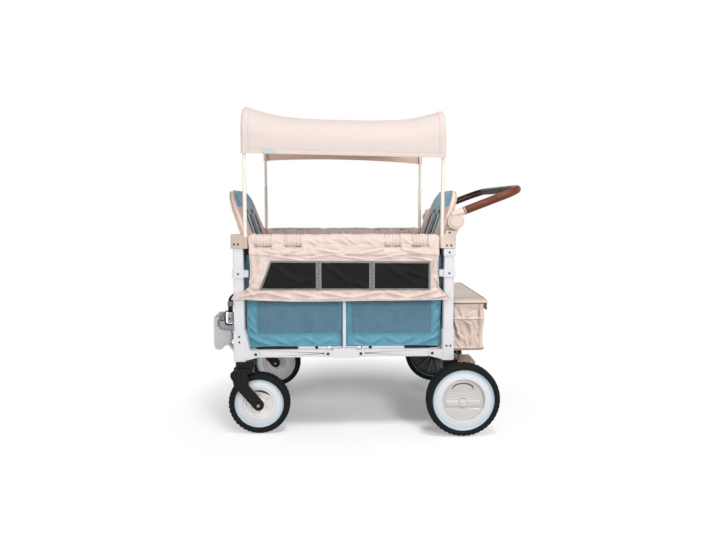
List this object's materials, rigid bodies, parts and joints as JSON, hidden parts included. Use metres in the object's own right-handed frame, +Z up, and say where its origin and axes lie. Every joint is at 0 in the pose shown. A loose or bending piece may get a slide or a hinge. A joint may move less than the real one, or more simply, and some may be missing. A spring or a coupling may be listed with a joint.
{
  "type": "stroller wagon",
  "caption": "Folding stroller wagon: box-tube frame on swivel casters, padded fabric tub with facing seats, canopy on telescoping poles, tilting push handle and rear bag.",
  "frame": {"origin": "middle of the bounding box, on the ground under the wheels", "axes": "+X to the push-handle end, +Y to the right-hand side when facing the caster end, +Z up"},
  "size_m": [1.1353, 0.656, 1.1512],
  "materials": {
    "white_frame": "satin",
    "beige_plastic": "satin",
    "cream_fabric": "matte",
    "teal_fabric": "matte",
    "tan_fabric": "matte",
    "cream_pole": "satin",
    "black_plastic": "satin",
    "tyre": "matte",
    "rim": "gloss",
    "leather": "satin",
    "grey_plastic": "satin",
    "steel": "satin",
    "board": "matte",
    "taupe_plastic": "satin"
  },
  "bodies": {
    "front_end": {"front_posts": "white_frame", "front_cross_bars": "white_frame", "front_top_brackets": "beige_plastic", "front_bottom_brackets": "white_frame", "front_collars": "white_frame", "front_pole_tubes": "cream_pole", "front_fasteners": "steel", "front_end_panel": "teal_fabric", "front_seat_base": "teal_fabric", "front_side_walls": "teal_fabric", "caster_housings": "black_plastic"},
    "caster_left": {"caster_fork_left": "black_plastic"},
    "caster_right": {"caster_fork_right": "black_plastic"},
    "front_wheel_left": {"front_tyre_left": "tyre", "front_rim_left": "rim"},
    "front_wheel_right": {"front_tyre_right": "tyre", "front_rim_right": "rim"},
    "pull_handle": {"pull_arm": "grey_plastic", "pull_grip": "grey_plastic"},
    "front_back": {"front_seat_back": "teal_fabric"},
    "front_hoop": {"front_bow": "cream_pole", "canopy": "cream_fabric"},
    "front_upper": {"front_upper_rails": "white_frame", "front_rail_covers": "cream_fabric"},
    "front_lower": {"front_lower_rails": "white_frame", "front_floor": "board"},
    "centre": {"centre_tubes": "white_frame", "centre_brackets": "white_frame", "centre_pins": "steel", "side_flaps": "cream_fabric"},
    "rear_upper": {"rear_upper_rails": "white_frame", "rear_rail_covers": "cream_fabric"},
    "rear_lower": {"rear_lower_rails": "white_frame", "rear_floor": "board"},
    "rear_end": {"rear_posts": "white_frame", "rear_cross_bars": "white_frame", "rear_top_brackets": "beige_plastic", "rear_bottom_brackets": "white_frame", "rear_collars": "white_frame", "rear_pole_tubes": "cream_pole", "rear_fasteners": "steel", "rear_end_panel": "teal_fabric", "rear_seat_base": "teal_fabric", "rear_side_walls": "teal_fabric", "rear_legs": "black_plastic", "rear_axle": "steel", "bag": "tan_fabric"},
    "rear_back": {"rear_seat_back": "teal_fabric"},
    "rear_hoop": {"rear_bow": "cream_pole"},
    "rear_wheel_left": {"rear_tyre_left": "tyre", "rear_rim_left": "rim"},
    "rear_wheel_right": {"rear_tyre_right": "tyre", "rear_rim_right": "rim"},
    "push_handle": {"handle_tube": "steel", "handle_grip": "leather", "handle_hubs": "beige_plastic"},
    "button_left": {"hub_button_left": "beige_plastic"},
    "button_right": {"hub_button_right": "beige_plastic"},
    "brake": {"brake_pedal": "taupe_plastic"},
    "lid": {"bag_lid": "tan_fabric"}
  },
  "joints": [
    {"name": "fold", "type": "hinge", "parent": "front_end", "child": "front_upper", "pos_m": [-0.39466, 0, 0.684], "axis": [0, -1, 0], "range_deg": [0, 72], "deforming": ["front_side_walls", "rear_side_walls", "front_seat_base", "rear_seat_base", "front_seat_back", "rear_seat_back", "side_flaps", "front_rail_covers", "rear_rail_covers", "canopy"]},
    {"name": "centre_level", "type": "hinge", "parent": "front_upper", "child": "centre", "pos_m": [-0.14166, 0, 0.684], "axis": [0, 1, 0], "range_deg": [0, 72]},
    {"name": "rear_upper_fold", "type": "hinge", "parent": "centre", "child": "rear_upper", "pos_m": [0.01834, 0, 0.684], "axis": [0, 1, 0], "range_deg": [0, 72]},
    {"name": "rear_end_level", "type": "hinge", "parent": "rear_upper", "child": "rear_end", "pos_m": [0.27134, 0, 0.684], "axis": [0, -1, 0], "range_deg": [0, 72]},
    {"name": "front_lower_fold", "type": "hinge", "parent": "front_end", "child": "front_lower", "pos_m": [-0.37266, 0, 0.287], "axis": [0, -1, 0], "range_deg": [0, 72]},
    {"name": "rear_lower_fold", "type": "hinge", "parent": "rear_end", "child": "rear_lower", "pos_m": [0.24934, 0, 0.287], "axis": [0, 1, 0], "range_deg": [0, 72]},
    {"name": "caster_swivel_left", "type": "hinge", "parent": "front_end", "child": "caster_left", "pos_m": [-0.41166, -0.257, 0.24], "axis": [0, 0, 1], "continuous": true},
    {"name": "caster_swivel_right", "type": "hinge", "parent": "front_end", "child": "caster_right", "pos_m": [-0.41166, 0.257, 0.24], "axis": [0, 0, 1], "continuous": true},
    {"name": "front_wheel_spin_left", "type": "hinge", "parent": "caster_left", "child": "front_wheel_left", "pos_m": [-0.36366, -0.257, 0.109], "axis": [0, 1, 0], "continuous": true},
    {"name": "front_wheel_spin_right", "type": "hinge", "parent": "caster_right", "child": "front_wheel_right", "pos_m": [-0.36366, 0.257, 0.109], "axis": [0, 1, 0], "continuous": true},
    {"name": "rear_wheel_spin_left", "type": "hinge", "parent": "rear_end", "child": "rear_wheel_left", "pos_m": [0.35334, -0.306, 0.13], "axis": [0, 1, 0], "continuous": true},
    {"name": "rear_wheel_spin_right", "type": "hinge", "parent": "rear_end", "child": "rear_wheel_right", "pos_m": [0.35334, 0.306, 0.13], "axis": [0, 1, 0], "continuous": true},
    {"name": "pull_handle_swing", "type": "hinge", "parent": "front_end", "child": "pull_handle", "pos_m": [-0.42366, 0, 0.251], "axis": [0, -1, 0], "range_deg": [0, 60]},
    {"name": "front_back_tilt", "type": "hinge", "parent": "front_end", "child": "front_back", "pos_m": [-0.32166, 0, 0.416], "axis": [0, 1, 0], "range_deg": [0, 35]},
    {"name": "rear_back_tilt", "type": "hinge", "parent": "rear_end", "child": "rear_back", "pos_m": [0.19834, 0, 0.416], "axis": [0, -1, 0], "range_deg": [0, 35]},
    {"name": "canopy_front_slide", "type": "slide", "parent": "front_end", "child": "front_hoop", "axis": [0, 0, 1], "range_m": [-0.15, 0]},
    {"name": "canopy_rear_slide", "type": "slide", "parent": "rear_end", "child": "rear_hoop", "axis": [0, 0, 1], "range_m": [-0.15, 0]},
    {"name": "push_handle_tilt", "type": "hinge", "parent": "rear_end", "child": "push_handle", "pos_m": [0.32334, 0, 0.754], "axis": [0, -1, 0], "range_deg": [-55, 45]},
    {"name": "button_left_press", "type": "slide", "parent": "push_handle", "child": "button_left", "axis": [0, 1, 0], "range_m": [0, 0.0035], "stiffness_N_per_m": 800},
    {"name": "button_right_press", "type": "slide", "parent": "push_handle", "child": "button_right", "axis": [0, -1, 0], "range_m": [0, 0.0035], "stiffness_N_per_m": 800},
    {"name": "brake_press", "type": "hinge", "parent": "rear_end", "child": "brake", "pos_m": [0.33834, 0, 0.225], "axis": [0, 1, 0], "range_deg": [0, 25]},
    {"name": "bag_lid_open", "type": "hinge", "parent": "rear_end", "child": "lid", "pos_m": [0.32634, 0, 0.45925], "axis": [0, -1, 0], "range_deg": [0, 80]}
  ],
  "couplings": [
    {"joint": "centre_level", "follows": "fold", "ratio": 1},
    {"joint": "rear_upper_fold", "follows": "fold", "ratio": 1},
    {"joint": "rear_end_level", "follows": "fold", "ratio": 1},
    {"joint": "front_lower_fold", "follows": "fold", "ratio": 1},
    {"joint": "rear_lower_fold", "follows": "fold", "ratio": 1},
    {"joint": "canopy_rear_slide", "follows": "canopy_front_slide", "ratio": 1}
  ]
}
